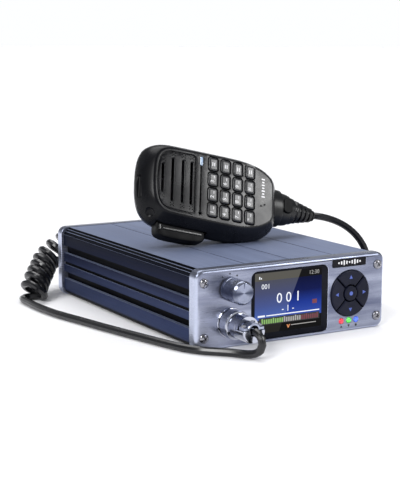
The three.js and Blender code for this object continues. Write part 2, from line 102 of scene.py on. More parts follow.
# The handset's own axes: X along it to the cord, Y across it, Z out of its face.
HANDSET_PLACE = (1.5, -24, 85.3)
HANDSET_TILT = 66
HANDSET_TURN = -14.8
HANDSET = (
    Matrix.Translation(HANDSET_PLACE)
    @ Matrix.Rotation(math.radians(HANDSET_TILT), 4, "X")
    @ Matrix.Rotation(math.radians(HANDSET_TURN), 4, "Z")
)
HANDSET_PART = 14.6  # depth of the parting line
HANDSET_BACK = 29.6
SHELL_THICK = 2.2
BOOT_END = 70  # where the cord goes into the boot
KEY_FIRST = Vector((-14.2, -16.5))
KEY_PITCH = Vector((9.45, 10.95))
KEY_SIZE = (6.8, 9.1)
KEY_GAP = 0.65
KEY_TOP = 0.62  # how far the keys stand out of the face
SLOT_SPOTS = (-51, -43.8, -36.3, -29.9)
SLOT_LENGTHS = (20, 30, 30, 30)
SLOT_WIDTH = 1.7
SLOT_MIDDLE = -0.2

CORD_NODES = ("cord_plug_tail", "cord_coil", "cord_handset_tail")
WIRE = 2.5  # radius of the cord
TURN = 7.8  # radius of the curls' own centreline
TURNS = 38.5
TURN_POINTS = 12
STAND = 46  # how much of the curls stands on the floor
LOOSE = 0.48  # how densely the standing turns lie, next to the others
LEAN = Vector((0.665, 0.126, 0.72))  # which way the standing turns face

# The cord from the plug down to the floor, and along it to the curls.
PLUG_TAIL = (
    (-47, -130.6, 16), (-46.7, -134.2, 15.1), (-46.4, -136.7, 12.7), (-46.4, -137.6, 9.4),
    (-47, -136.6, 6.1), (-48.7, -133.6, 3.7), (-51.8, -128.6, 2.7), (-56.6, -121.4, 2.6),
    (-62.8, -114.8, 2.6), (-69.8, -107.8, 2.6), (-76, -97, 2.6), (-81, -81, 2.6), (-85.6, -63, 2.6),
    (-90, -44.5, 2.6), (-95.2, -22, 2.6), (-100.4, 3, 2.6), (-105.2, 26, 2.6), (-107.2, 43, 2.6),
    (-107.9, 58, 2.6), (-107.6, 70, 2.6),
)
# The middle of the curls: up from the floor, over the antenna socket and down again.
COIL_LINE = (
    (-99.5, 80, 0.2), (-99.5, 80, 4.8), (-97.6, 83, 9.8), (-93.2, 88.8, 13.4), (-87.9, 95.8, 16.4),
    (-82.5, 103, 19.5), (-77.2, 109.9, 22.8), (-71, 114.4, 26.4), (-63.3, 117, 30.6),
    (-54.5, 118, 34.4), (-45, 117.8, 36), (-33, 117.6, 33.2), (-20, 117.5, 25.4), (-8, 117.5, 16.2),
    (4, 117.5, 11.2), (18, 117.5, 10.6), (36, 117, 10.6), (54, 116.5, 10.6), (68, 115, 10.6),
    (80, 109.5, 10.6), (88.5, 99.5, 10.6),
)
# The cord from the curls up to the handset.
HANDSET_TAIL = (
    (92.4, 99, 2.6), (94.6, 87, 2.6), (99.4, 70, 2.6), (103.4, 50, 2.6), (106.8, 28, 2.6),
    (109, 8, 2.6), (110, -8, 2.9), (110.4, -22, 5), (110.2, -31.5, 12), (109, -36.5, 22),
    (107.4, -37.2, 32), (105, -35.2, 41), (100, -31.4, 49.6), (92.5, -27, 56.2), (83, -23, 60.6),
    (74.4, -20.2, 62.6),
)


# ---- Camera ----
CAMERA_PLACE = (-0.4432, -0.7459, 0.1920)
CAMERA_TURNS = (30.21, 9.62, 0.18)  # to the right, down and over, in degrees
CAMERA_LENS = 93.2


def make_camera():
    """Left of the front and a little above, as the photograph was taken."""
    yaw, pitch, roll = (math.radians(turn) for turn in CAMERA_TURNS)
    ahead = Vector((
        math.sin(yaw) * math.cos(pitch), math.cos(yaw) * math.cos(pitch), -math.sin(pitch)
    ))
    data = bpy.data.cameras.new("camera")
    data.sensor_width = 36
    data.lens = CAMERA_LENS
    data.clip_start, data.clip_end = 0.05, 30
    camera = put("camera", data)
    camera.location = CAMERA_PLACE
    level = ahead.to_track_quat("-Z", "Y").to_matrix()
    turn_to(camera, (level @ Matrix.Rotation(roll, 3, "Z")).to_quaternion())
    bpy.context.scene.camera = camera


make_camera()


# ---- Materials ----
class Look:
    """A material made of nodes. Keyword arguments are the shader's own sockets."""

    def __init__(self, name, color, roughness, metallic=0.0, **sockets):
        self.material = bpy.data.materials.new(name)
        self.material.use_nodes = True
        self.material.diffuse_color = (*color, 1)
        self.tree = self.material.node_tree
        self.shader = self.tree.nodes["Principled BSDF"]
        values = {"Base Color": (*color, 1), "Roughness": roughness, "Metallic": metallic}
        values.update({key.replace("_", " "): value for key, value in sockets.items()})
        for key, value in values.items():
            self.shader.inputs[key].default_value = value

    def node(self, kind, inputs=(), **settings):
        made = self.tree.nodes.new(f"ShaderNode{kind}")
        for key, value in settings.items():
            setattr(made, key, value)
        for key, value in dict(inputs).items():
            if isinstance(value, bpy.types.NodeSocket):
                self.tree.links.new(value, made.inputs[key])
            else:
                made.inputs[key].default_value = value
        return made

    def coords(self, stretch=(1, 1, 1)):
        inputs = {"Vector": self.node("TexCoord").outputs["Object"], "Scale": stretch}
        return self.node("Mapping", inputs).outputs["Vector"]

    def split(self, kind):
        """The X, Y and Z of where a point is (Object) or of where it faces (Normal)."""
        return self.node("SeparateXYZ", {"Vector": self.node("TexCoord").outputs[kind]}).outputs

    def noise(self, scale, detail=3.0, stretch=(1, 1, 1), rough=0.5):
        inputs = {
            "Vector": self.coords(stretch), "Scale": scale, "Detail": detail, "Roughness": rough
        }
        return self.node("TexNoise", inputs).outputs["Fac"]

    def ramp(self, factor, stops):
        made = self.node("ValToRGB", {"Fac": factor})
        elements = made.color_ramp.elements
        while len(elements) < len(stops):
            elements.new(1)
        for element, (at, color) in zip(elements, stops):
            element.position = at
            element.color = (*color, 1)
        return made.outputs["Color"]

    def maths(self, operation, a, b=0.0):
        return self.node("Math", {0: a, 1: b}, operation=operation).outputs["Value"]

    def spread(self, factor, low, high, start=0.0, end=1.0):
        """factor's range from start to end, turned into low to high."""
        inputs = {"Value": factor, "From Min": start, "From Max": end, "To Min": low, "To Max": high}
        return self.node("MapRange", inputs).outputs["Result"]

    def rise(self, factor, start, end):
        """0 where factor is start, 1 where it is end."""
        return self.spread(factor, 0.0, 1.0, start, end)

    def mix(self, factor, a, b, blend="MIX"):
        made = self.node("Mix", data_type="RGBA", blend_type=blend)
        for socket, value in zip((made.inputs[0], made.inputs[6], made.inputs[7]), (factor, a, b)):
            if isinstance(value, bpy.types.NodeSocket):
                self.tree.links.new(value, socket)
            else:
                socket.default_value = value if isinstance(value, float) else (*value, 1)
        return made.outputs[2]

    def feed(self, socket, value):
        self.tree.links.new(value, self.shader.inputs[socket])

    def glow(self, tone, strength):
        self.feed("Emission Color", tone)
        self.shader.inputs["Emission Strength"].default_value = strength

    def bump(self, height, depth, strength=1.0):
        """Relief of the given depth in millimetres."""
        inputs = {"Height": height, "Distance": depth * MM, "Strength": strength}
        previous = self.shader.inputs["Normal"].links
        if previous:
            inputs["Normal"] = previous[0].from_socket
        self.feed("Normal", self.node("Bump", inputs).outputs["Normal"])


def brushed_plate():
    """Aluminium with brushing along X and long soft streaking; painted light makes it paler towards the
    lower left and darker towards the right, with a painted highlight on the edges that face sideways or
    down and painted shade on those that face up.
    """
    look = Look("brushed_plate", (0.29, 0.31, 0.4), 0.3, 0.9)
    fine = look.noise(60, 4, (1, 1, 60), 0.7)
    broad = look.noise(9, 3, (1, 1, 11), 0.55)
    streaks_and_painted_light = look.ramp(broad, [
        (0.34, (0.11, 0.125, 0.21)), (0.48, (0.26, 0.28, 0.37)), (0.64, (0.46, 0.49, 0.6)),
    ])
    # Painted highlight: the streaking turns pale towards the lower left.
    spot = look.split("Object")
    left = look.spread(spot["X"], 0.6, 0.0, -0.06, -0.028)
    low = look.spread(spot["Z"], 1.0, 0.25, 0.006, 0.045)
    streaks_and_painted_light = look.mix(look.maths("MULTIPLY", left, low), streaks_and_painted_light, (0.62, 0.65, 0.78))
    # Painted shade: the plate darkens towards the right.
    right = look.spread(spot["X"], 0.0, 0.3, 0.0, 0.05)
    streaks_and_painted_light = look.mix(right, streaks_and_painted_light, (0.1, 0.115, 0.17))
    tone = look.ramp(fine, [(0.25, (0.72, 0.73, 0.78)), (0.75, (1, 1, 1))])
    facing = look.split("Normal")
    flat = look.rise(look.maths("ABSOLUTE", facing["Y"]), 0.86, 0.985)
    brushed_and_painted_light = look.mix(1.0, streaks_and_painted_light, tone, "MULTIPLY")
    # Painted light on the rounded edges: a pale painted highlight where they face sideways or down, darker
    # painted shade where they face up.
    upper = look.rise(facing["Z"], 0.06, 0.3)
    rim = look.mix(upper, (0.52, 0.56, 0.7), (0.19, 0.21, 0.28))
    look.feed("Base Color", look.mix(flat, rim, brushed_and_painted_light))
    look.feed("Roughness", look.spread(fine, 0.22, 0.42, 0.3, 0.7))
    look.bump(fine, 0.012, 0.5)
    return look.material


def case_metal():
    """Extrusion drawn along Y, navy, with painted light: a paler slate top as painted reflection, painted
    shade that darkens the sides upwards and towards the rear, and near-black painted shadow down in the
    channels.
    """
    look = Look("anodised_case", (0.03, 0.036, 0.075), 0.42, 0.25, Specular_IOR_Level=0.01)
    spot = look.split("Object")
    # Painted shade: the sides are paler near the floor and darken upwards.
    sides = look.ramp(look.rise(spot["Z"], 0, 0.05), [
        (0.0, (0.036, 0.05, 0.115)), (0.5, (0.028, 0.037, 0.083)), (0.62, (0.014, 0.018, 0.045)),
        (0.84, (0.006, 0.0085, 0.022)), (0.93, (0.004, 0.005, 0.011)),
    ])
    wall = look.maths("ABSOLUTE", spot["X"])
    # Painted shade: the sides also darken towards the rear.
    along = look.spread(spot["Y"], 1.15, 0.7, -0.09, 0.09)
    painted_falloff = look.node("CombineColor", dict.fromkeys(("Red", "Green", "Blue"), along)).outputs["Color"]
    sides = look.mix(1.0, sides, painted_falloff, "MULTIPLY")
    # Painted shadow: the recessed channel floors, within 68.6 mm of the middle, go near black.
    sides = look.mix(look.spread(wall, 1.0, 0.0, 0.0686, 0.0691), sides, (0.0006, 0.0008, 0.0018))
    lines = look.noise(700, 3, (1, 0.01, 1), 0.6)
    # Painted reflection: faces that point up take a paler slate in place of the navy.
    cloud = look.noise(14, 2)
    top = look.mix(look.rise(cloud, 0.35, 0.65), (0.15, 0.18, 0.275), (0.175, 0.205, 0.3))
    level = look.rise(look.split("Normal")["Z"], 0.86, 0.94)
    tone = look.mix(level, sides, top)
    drawn = look.ramp(lines, [(0.3, (0.82, 0.82, 0.85)), (0.7, (1.12, 1.12, 1.12))])
    look.feed("Base Color", look.mix(1.0, tone, drawn, "MULTIPLY"))
    look.feed("Roughness", look.spread(lines, 0.36, 0.5, 0.3, 0.7))
    look.bump(lines, 0.01, 0.3)
    return look.material


def chrome(name, color, roughness):
    """Plated metal with hairline marks and slight dulling."""
    look = Look(name, color, roughness, 1.0)
    marks = look.noise(900, 2, (1, 1, 1), 0.6)
    dull = look.noise(120, 3)
    look.feed("Roughness", look.spread(dull, roughness * 0.7, roughness * 1.6, 0.35, 0.7))
    darker = tuple(c * 0.86 for c in color)
    look.feed("Base Color", look.mix(look.rise(dull, 0.4, 0.7), color, darker))
    look.bump(marks, 0.004, 0.4)
    return look.material


def turned_metal(name, centre, pale, dark, roughness):
    """Metal turned about the Y axis through centre, with a painted reflection that darkens it to both sides
    of the middle.
    """
    look = Look(name, pale, roughness, 1.0)
    spot = look.node("TexCoord").outputs["Object"]
    away = look.node("VectorMath", {0: spot, 1: tuple(MM * centre)}, operation="SUBTRACT").outputs[0]
    flat = look.node("VectorMath", {0: away, 1: (1.0, 0.0, 1.0)}, operation="MULTIPLY").outputs[0]
    facing = look.node("VectorMath", {0: flat}, operation="NORMALIZE").outputs[0]
    across = look.node("SeparateXYZ", {"Vector": facing})
    # Painted reflection: a dark stripe through the centre, strongest level with it to the left and right.
    painted_reflection_band = look.maths("POWER", look.maths("ABSOLUTE", across.outputs["X"]), 9.0)
    lines = look.noise(500, 3, (1, 6, 1), 0.6)
    tone = look.mix(painted_reflection_band, pale, dark)
    fine = look.ramp(lines, [(0.3, (0.8, 0.8, 0.84)), (0.7, (1, 1, 1))])
    look.feed("Base Color", look.mix(1.0, tone, fine, "MULTIPLY"))
    look.feed("Roughness", look.spread(lines, roughness - 0.05, roughness + 0.08, 0.3, 0.7))
    look.bump(lines, 0.004, 0.4)
    return look.material


def plastic(name, color, roughness, grain, depth, shine=None, **sockets):
    """Moulded plastic with a sparked grain of that size in millimetres, shinier where worn.

    shine gives the specular level at two places along X, as (level, level, x, x) in metres; it paints shade
    where the level is low and sheen where it is high."""
    look = Look(name, color, roughness, **sockets)
    inputs = {"Vector": look.coords(), "Scale": 1 / (grain * MM)}
    cells = look.node("TexVoronoi", inputs).outputs["Distance"]
    wear = look.noise(55, 4)
    lighter = tuple(min(1, c * 1.5 + 0.004) for c in color)
    look.feed("Base Color", look.mix(look.rise(wear, 0.4, 0.75), color, lighter))
    look.feed("Roughness", look.spread(wear, roughness + 0.06, roughness - 0.06, 0.35, 0.65))
    if shine:
        look.feed("Specular IOR Level", look.spread(look.split("Object")["X"], *shine))
    look.bump(cells, depth)
    return look.material


def lamp(name, color, strength):
    """A coloured lens with a lit core."""
    look = Look(name, color, 0.12, Coat_Weight=0.6)
    cloud = look.noise(600, 2)
    bright = tuple(min(1, c * 1.6 + 0.05) for c in color)
    tone = look.mix(look.rise(cloud, 0.35, 0.65), color, bright)
    look.feed("Base Color", tone)
    look.glow(tone, strength)
    return look.material


def printed(name, color, glow=0.0):
    """Ink, or a lit mark on the screen."""
    look = Look(name, color, 0.45)
    specks = look.noise(2500, 2)
    darker = tuple(c * 0.82 for c in color)
    tone = look.mix(look.rise(specks, 0.35, 0.6), darker, color)
    look.feed("Base Color", look.mix(0.8, tone, (0.0, 0.0, 0.0)) if glow else tone)
    if glow:
        look.glow(tone, glow)
    return look.material


def screen_picture():
    """Blue deepening upwards, with a bar above and below; a painted reflection of glare on the glass makes
    the picture paler left of a slanting line and the bars pale grey there.
    """
    look = Look("screen_picture", (0.01, 0.02, 0.1), 0.12, Specular_IOR_Level=0.05)
    place = look.split("Object")
    width, height = (size * MM for size in SCREEN_SIZE)
    left, low = SCREEN.x * MM - width / 2, SCREEN.y * MM - height / 2
    across = look.rise(place["X"], left, left + width)
    upward = look.rise(place["Z"], low, low + height)
    picture = look.ramp(upward, [
        (0.2, (0.045, 0.1, 0.5)), (0.45, (0.014, 0.045, 0.34)), (0.65, (0.003, 0.009, 0.09)),
        (0.85, (0.001, 0.004, 0.045)),
    ])
    # Painted reflection: glare on the glass, paler and greyer left of the slanting line.
    painted_glare = look.ramp(upward, [
        (0.2, (0.085, 0.17, 0.58)), (0.45, (0.075, 0.11, 0.33)), (0.65, (0.075, 0.09, 0.2)),
        (0.85, (0.085, 0.09, 0.13)),
    ])
    line = look.maths("MULTIPLY", upward, 0.33)
    slant = look.maths("SUBTRACT", look.maths("SUBTRACT", across, 0.36), line)
    edge = look.spread(slant, 1.0, 0.0, -0.004, 0.004)
    body = look.mix(edge, picture, painted_glare)
    # The same painted glare turns the bars above and below pale left of the line.
    bar = look.mix(edge, (0.004, 0.004, 0.005), (0.12, 0.115, 0.1))
    foot = look.mix(edge, (0.004, 0.004, 0.004), (0.02, 0.018, 0.016))
    tone = look.mix(look.rise(upward, 0.868, 0.872), body, bar)
    tone = look.mix(look.spread(upward, 1.0, 0.0, 0.215, 0.219), tone, foot)
    lines = look.node("TexWave", {"Vector": look.coords(), "Scale": 1100.0}, bands_direction="Z")
    tone = look.mix(look.spread(lines.outputs["Fac"], 0.0, 0.12), tone, (0.0, 0.0, 0.0))
    look.feed("Base Color", look.mix(0.9, tone, (0.0, 0.0, 0.0)))
    look.glow(tone, 0.78)
    return look.material


def circuit_board():
    look = Look("circuit_board", (0.01, 0.09, 0.03), 0.35, Coat_Weight=0.4)
    tracks = look.node("TexBrick", {
        "Vector": look.coords(), "Scale": 120.0, "Color1": (0.01, 0.08, 0.03, 1),
        "Color2": (0.015, 0.12, 0.05, 1), "Mortar": (0.25, 0.18, 0.05, 1), "Mortar Size": 0.03,
    }).outputs["Color"]
    look.feed("Base Color", tracks)
    look.bump(look.noise(400, 2), 0.05, 0.4)
    return look.material


PLATE_METAL = brushed_plate()
CASE_METAL = case_metal()
CHROME = chrome("bright_chrome", (0.5, 0.52, 0.6), 0.1)
KNOB_METAL = turned_metal("knob_metal", KNOB, (0.33, 0.36, 0.46), (0.06, 0.07, 0.11), 0.22)
SATIN_CHROME = chrome("satin_chrome", (0.36, 0.39, 0.5), 0.22)
STEEL = chrome("screw_steel", (0.3, 0.3, 0.33), 0.26)
BRASS = chrome("satin_brass", (0.5, 0.36, 0.13), 0.3)
LENS_BLACK = plastic("lens_black", (0.002, 0.0025, 0.006), 0.12, 0.8, 0.0004, Specular_IOR_Level=0.08)
BADGE_BLACK = plastic("badge_black", (0.004, 0.004, 0.006), 0.3, 0.3, 0.003, Specular_IOR_Level=0.1)
PAD_NAVY = plastic("pad_navy", (0.004, 0.005, 0.014), 0.36, 0.25, 0.004, Specular_IOR_Level=0.15)
# Painted shade and sheen: the handset's plastic is duller towards the earpiece end and shinier towards the
# cord.
MIC_BLACK = plastic("mic_black", (0.0028, 0.003, 0.0042), 0.27, 0.35, 0.012, (0.14, 0.55, -0.045, 0.045))
KEY_BLACK = plastic("key_black", (0.009, 0.0095, 0.012), 0.3, 0.25, 0.006, Specular_IOR_Level=0.65)
TALK_RUBBER = plastic("talk_rubber", (0.0018, 0.0019, 0.0026), 0.45, 0.3, 0.01, Specular_IOR_Level=0.12)
LEDGE_RUBBER = plastic("ledge_rubber", (0.004, 0.0045, 0.006), 0.26, 0.3, 0.008, Specular_IOR_Level=0.6)
BOOT_RUBBER = plastic("boot_rubber", (0.0028, 0.003, 0.004), 0.32, 0.3, 0.008, Specular_IOR_Level=0.4)
CORD_RUBBER = plastic("cord_rubber", (0.0045, 0.0048, 0.0065), 0.22, 0.4, 0.003)
INLET_BLACK = plastic("inlet_black", (0.01, 0.01, 0.012), 0.45, 0.3, 0.01)
WINDOW = lamp("lamp_window", (0.16, 0.24, 0.36), 0.05)
RED, GREEN, BLUE = (
    lamp("lamp_red", (0.6, 0.01, 0.03), 0.35),
    lamp("lamp_green", (0.06, 0.5, 0.04), 0.5),
    lamp("lamp_blue", (0.03, 0.09, 0.55), 0.5),
)
INK_BLACK = printed("black_ink", (0.01, 0.01, 0.014))
INK_WHITE = printed("white_ink", (0.8, 0.8, 0.82))
ARROW_BLUE = printed("arrow_blue", (0.12, 0.2, 0.75), 0.5)
GLOW_WHITE = printed("screen_white", (0.9, 0.93, 1.0), 0.9)
GLOW_GREY = printed("screen_grey", (0.5, 0.49, 0.47), 0.6)
GLOW_DARK = printed("screen_dark", (0.02, 0.02, 0.02), 0.1)
GLOW_GREEN = printed("screen_green", (0.25, 0.5, 0.12), 0.8)
GLOW_RED = printed("screen_red", (0.22, 0.03, 0.05), 0.6)
GLOW_ORANGE = printed("screen_orange", (0.8, 0.3, 0.1), 0.8)
BOARD = circuit_board()


# ---- Making meshes ----
def rounded(x, y, width, height, radius, steps=6):
    """A rounded rectangle as a list of points, anticlockwise."""
    points = []
    for quarter, (sx, sy) in enumerate(((1, -1), (1, 1), (-1, 1), (-1, -1))):
        for step in range(steps + 1):
            angle = math.pi / 2 * (quarter - 1 + step / steps)
            points.append(Vector((
                x + sx * (width / 2 - radius) + radius * math.cos(angle),
                y + sy * (height / 2 - radius) + radius * math.sin(angle),
            )))
    return points


def arc(x, y, radius, start, end, steps=12):
    angles = [start + (end - start) * i / steps for i in range(steps + 1)]
    return [Vector((x + radius * math.cos(a), y + radius * math.sin(a))) for a in angles]


def circle(x, y, radius, steps):
    return arc(x, y, radius, 0, 2 * math.pi, steps)[:-1]


def offset(outline, distance):
    """The outline moved out by distance."""
    moved = []
    for i, point in enumerate(outline):
        before = (point - outline[i - 1]).normalized()
        after = (outline[(i + 1) % len(outline)] - point).normalized()
        normals = [Vector((side.y, -side.x)) for side in (before, after)]
        bisector = (normals[0] + normals[1]).normalized()
        moved.append(point + bisector * distance / max(0.5, bisector.dot(normals[0])))
    return moved


def on_panel(x, z, depth):
    """A point on the front panel, depth behind its face."""
    return Vector((x, FRONT + depth, z))


def on_rear(x, z, depth):
    return Vector((x, REAR - depth, z))


def on_handset(x, y, depth):
    """A point on the handset, depth behind its face."""
    return HANDSET @ Vector((x, y, -depth))


def on_shell(x, y, depth):
    """A point on the handset's shells, which bulge less above than below."""
    return on_handset(x, y - 0.24 * max(0, y - 21.5), depth)


def ring(bm, outline, depth, place):
    return [bm.verts.new(place(p.x, p.y, depth)) for p in outline]


def skin(bm, rings, capped=False):
    """Faces from each ring to the next, and over both ends if capped."""
    for a, b in zip(rings, rings[1:]):
        for i in range(len(a)):
            bm.faces.new((a[i - 1], a[i], b[i], b[i - 1]))
    if capped:
        bm.faces.new(rings[0])
        bm.faces.new(rings[-1])


def wall(bm, outline, profile, place):
    """A skin through the outline moved out by each (offset, depth). Gives its first and last ring."""
    rings = [ring(bm, offset(outline, out), depth, place) for out, depth in profile]
    skin(bm, rings)
    return rings[0], rings[-1]


def fill(bm, *loops):
    """A flat face from the first loop, with a hole for each of the others."""
    edges = []
    for loop in loops:
        for i in range(len(loop)):
            pair = (loop[i - 1], loop[i])
            edges.append(bm.edges.get(pair) or bm.edges.new(pair))
    bmesh.ops.triangle_fill(bm, use_beauty=True, edges=edges)


def finish_piece(name, bm, *rest, **more):
    """Shows the bmesh, turned into metres. The rest is what show takes."""
    bmesh.ops.recalc_face_normals(bm, faces=bm.faces)
    mesh = bpy.data.meshes.new(name)
    bm.to_mesh(mesh)
    bm.free()
    mesh.transform(Matrix.Scale(MM, 4))
    return show(name, mesh, *rest, **more)


def smooth(mesh, sharp=35):
    mesh.shade_smooth()
    mesh.set_sharp_from_angle(angle=math.radians(sharp))


def show(name, mesh, material, body, replaces=(), slot=None, sharp=35):
    """A smooth-shaded piece from a mesh in metres, riding on a body."""
    smooth(mesh, sharp)
    mesh.materials.clear()
    mesh.materials.append(material)
    piece = put(name, mesh)
    even = piece.modifiers.new("even_normals", "WEIGHTED_NORMAL")
    even.keep_sharp = True
    if body:
        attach(piece, body)
    if replaces:
        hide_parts(*replaces)
    return piece


def form(bm, outline, profile, place, holes=(), pierce=None):
    """A closed solid: the outline moved out by each (offset, depth) of profile, filled at both ends.

    holes are outlines that go through it; each has a chamfer pierce wide at the first end."""
    ends = [wall(bm, outline, profile, place)]
    first, last = profile[0][1], profile[-1][1]
    for hole in holes:
        ends.append(wall(bm, hole, [(pierce, first), (0, first + pierce), (0, last)], place))
    for loops in zip(*ends):
        fill(bm, *loops)


def plain(name, outline, profile, place, *rest, **more):
    """A piece of one outline."""
    bm = bmesh.new()
    form(bm, outline, profile, place)
    return finish_piece(name, bm, *rest, **more)


def mark(name, outline):
    """A shape printed on the front plate."""
    plain(name, outline, [(0, -0.03), (0, 0.01)], on_panel, INK_BLACK, "radio")


def turned(name, profile, centre, material, body, segments, wave=None, **more):
    """A piece turned about Y, towards -Y from centre, through (radius, distance) pairs.

    wave scales a radius by its angle and distance."""
    bm = bmesh.new()
    loops = []
    for radius, distance in profile:
        loop = []
        for i in range(segments):
            angle = 2 * math.pi * i / segments
            reach = radius * (wave(angle, distance) if wave else 1)
            x, z = centre.x + reach * math.cos(angle), centre.z + reach * math.sin(angle)
            loop.append(bm.verts.new((x, centre.y - distance, z)))
        loops.append(loop)
    skin(bm, loops, capped=True)
    return finish_piece(name, bm, material, body, **more)


def seen_mesh(thing):
    """A new mesh of an object with its modifiers on it, or of a line or text."""
    bpy.context.view_layer.update()
    seen = thing.evaluated_get(bpy.context.evaluated_depsgraph_get())
    return bpy.data.meshes.new_from_object(seen)


def line_mesh(curve):
    source = put("line", curve)
    mesh = seen_mesh(source)
    bpy.data.objects.remove(source)
    return mesh


def cut(piece, *cutters):
    """Takes the cutters' solids out of the piece, for good."""
    for cutter in cutters:
        tool = piece.modifiers.new("cut", "BOOLEAN")
        tool.operation, tool.solver, tool.object = "DIFFERENCE", "EXACT", cutter
        piece.modifiers.move(len(piece.modifiers) - 1, 0)
    even = piece.modifiers["even_normals"]
    even.show_viewport = False
    piece.data = seen_mesh(piece)
    for tool in [m for m in piece.modifiers if m.type == "BOOLEAN"]:
        piece.modifiers.remove(tool)
    even.show_viewport = True
    smooth(piece.data)
    for cutter in cutters:
        bpy.data.objects.remove(cutter)


def cutter(outline, profile, place):
    """A solid for cut to take away."""
    return plain("cutter", outline, profile, place, INK_BLACK, None)


def writing(name, text, size, place, material, body, turn=0.0, thick=0.03, at=(0, 0), slot=None):
    """Digits or signs in a plain face, centred on at."""
    curve = bpy.data.curves.new(name, "FONT")
    curve.body = text
    curve.size = size
    curve.align_x, curve.align_y = "CENTER", "CENTER"
    curve.extrude = thick / 2
    curve.resolution_u = 3
    mesh = line_mesh(curve)
    spin = Matrix.Rotation(turn, 3, "Z")
    for vertex in mesh.vertices:
        flat = spin @ vertex.co
        vertex.co = place(flat.x + at[0], flat.y + at[1], -flat.z - thick / 2) * MM
    return show(name, mesh, material, body, slot=slot)


# ---- The cord: one wire, straight, curled and straight again ----
def smooth_line(points, spacing):
    """A centripetal curve through the points, as points about spacing apart."""
    knots = [Vector(p) for p in points]
    knots = [2 * knots[0] - knots[1], *knots, 2 * knots[-1] - knots[-2]]
    line = []
    for four in zip(knots, knots[1:], knots[2:], knots[3:]):
        times = [0.0]
        for a, b in zip(four, four[1:]):
            times.append(times[-1] + math.sqrt((b - a).length))
        steps = max(1, round((four[2] - four[1]).length / spacing))
        for i in range(steps):
            t = times[1] + (times[2] - times[1]) * i / steps
            row, reach = list(four), 1
            while len(row) > 1:
                row = [
                    a.lerp(b, (t - times[k]) / (times[k + reach] - times[k]))
                    for k, (a, b) in enumerate(zip(row, row[1:]))
                ]
                reach += 1
            line.append(row[0])
    line.append(knots[-2])
    return line


def curls(line, turns, start):
    """A helix round the line, as points. start is its first angle from down.

    The turns that stand on the floor are turned from the line's heading towards LEAN."""
    lengths = [0.0]
    for a, b in zip(line, line[1:]):
        density = min(1, max(LOOSE, LOOSE + (lengths[-1] - STAND) / 70))
        lengths.append(lengths[-1] + (b - a).length * density)
    wire, index = [], 0
    count = round(turns * TURN_POINTS)
    for i in range(count + 1):
        along = lengths[-1] * i / count
        while index < len(line) - 2 and lengths[index + 1] < along:
            index += 1
        a, b = line[index], line[index + 1]
        centre = a.lerp(b, (along - lengths[index]) / (lengths[index + 1] - lengths[index]))
        heading = (line[min(index + 2, len(line) - 1)] - line[max(index - 1, 0)]).normalized()
        lean = 0.8 * min(1, along / 10) * min(1, max(0, (STAND + 6 - along) / 20))
        heading = (heading.lerp(LEAN, lean) + Vector((0.02, 0, 0))).normalized()
        side = heading.cross(Vector((0, 0, 1))).normalized()
        angle = start + 2 * math.pi * turns * i / count
        spot = centre + TURN * (heading.cross(side) * math.cos(angle) + side * math.sin(angle))
        spot.z = max(spot.z, PLUG_TAIL[-1][2])
        wire.append(spot)
    return wire


def make_cord():
    curled = curls(smooth_line(COIL_LINE, 2), TURNS, math.pi)
    knots = [*PLUG_TAIL, *curled[:-2], *HANDSET_TAIL, on_handset(BOOT_END, 0, HANDSET_PART)]
    path = smooth_line(knots, WIRE)
    for point in path:
        point.z = max(point.z, WIRE + 0.05)
    path.reverse()
    curve = bpy.data.curves.new("cord", "CURVE")
    curve.dimensions = "3D"
    curve.bevel_depth = WIRE * MM
    curve.bevel_resolution = 3
    curve.use_fill_caps = True
    spline = curve.splines.new("POLY")
    spline.points.add(len(path) - 1)
    for point, place in zip(spline.points, path):
        point.co = (*(place * MM), 1)
    cord = show("cord", line_mesh(curve), CORD_RUBBER, None, CORD_NODES, "cord")
    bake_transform(cord)


make_cord()


# ---- Case ----
def paint(material, *nodes):
    """Gives the CAD's own nodes a material."""
    for name in nodes:
        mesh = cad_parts[name].data
        mesh.materials.clear()
        mesh.materials.append(material)


def soften(node, width):
    """Takes a fine bevel along a CAD node's sharp edges."""
    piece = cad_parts[node]
    bevel = piece.modifiers.new("edges", "BEVEL")
    bevel.width, bevel.segments = width * MM, 2
    bevel.limit_method, bevel.angle_limit = "ANGLE", math.radians(28)
    bevel.harden_normals = True


paint(CASE_METAL, "case_upper_shell", "case_lower_shell")
for node in ("case_upper_shell", "case_lower_shell"):
    soften(node, 0.18)


# ---- Front and rear plates ----
def quarter(radius, steps):
    """A rounded edge as (offset, depth) pairs, from the face to the side."""
    angles = [math.pi / 2 * i / steps for i in range(steps + 1)]
    return [(-radius * (1 - math.sin(a)), radius * (1 - math.cos(a))) for a in angles]


def node_hole(node, clearance, steps):
    """A round hole for a CAD node."""
    low, high = (Vector(corner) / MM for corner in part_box(node))
    centre = (low + high) / 2
    return circle(centre.x, centre.z, (high.x - low.x) / 2 + clearance, steps)


def make_plate(name, node, place, holes):
    """A plate with a rounded front edge; its screws' holes are the same front and rear."""
    holes = [*holes, *[circle(x, z, 2, 16) for x, z in SCREW_SPOTS]]
    outline = rounded(0, PANEL_HEIGHT / 2, PANEL_WIDTH, PANEL_HEIGHT, PANEL_CORNER, 8)
    profile = [*quarter(PANEL_EDGE, 7), (0, PANEL_THICK - 0.25), (-0.25, PANEL_THICK)]
    bm = bmesh.new()
    form(bm, outline, profile, place, holes, 0.2)
    return finish_piece(name, bm, PLATE_METAL, "radio", (node,), "silver_plate")


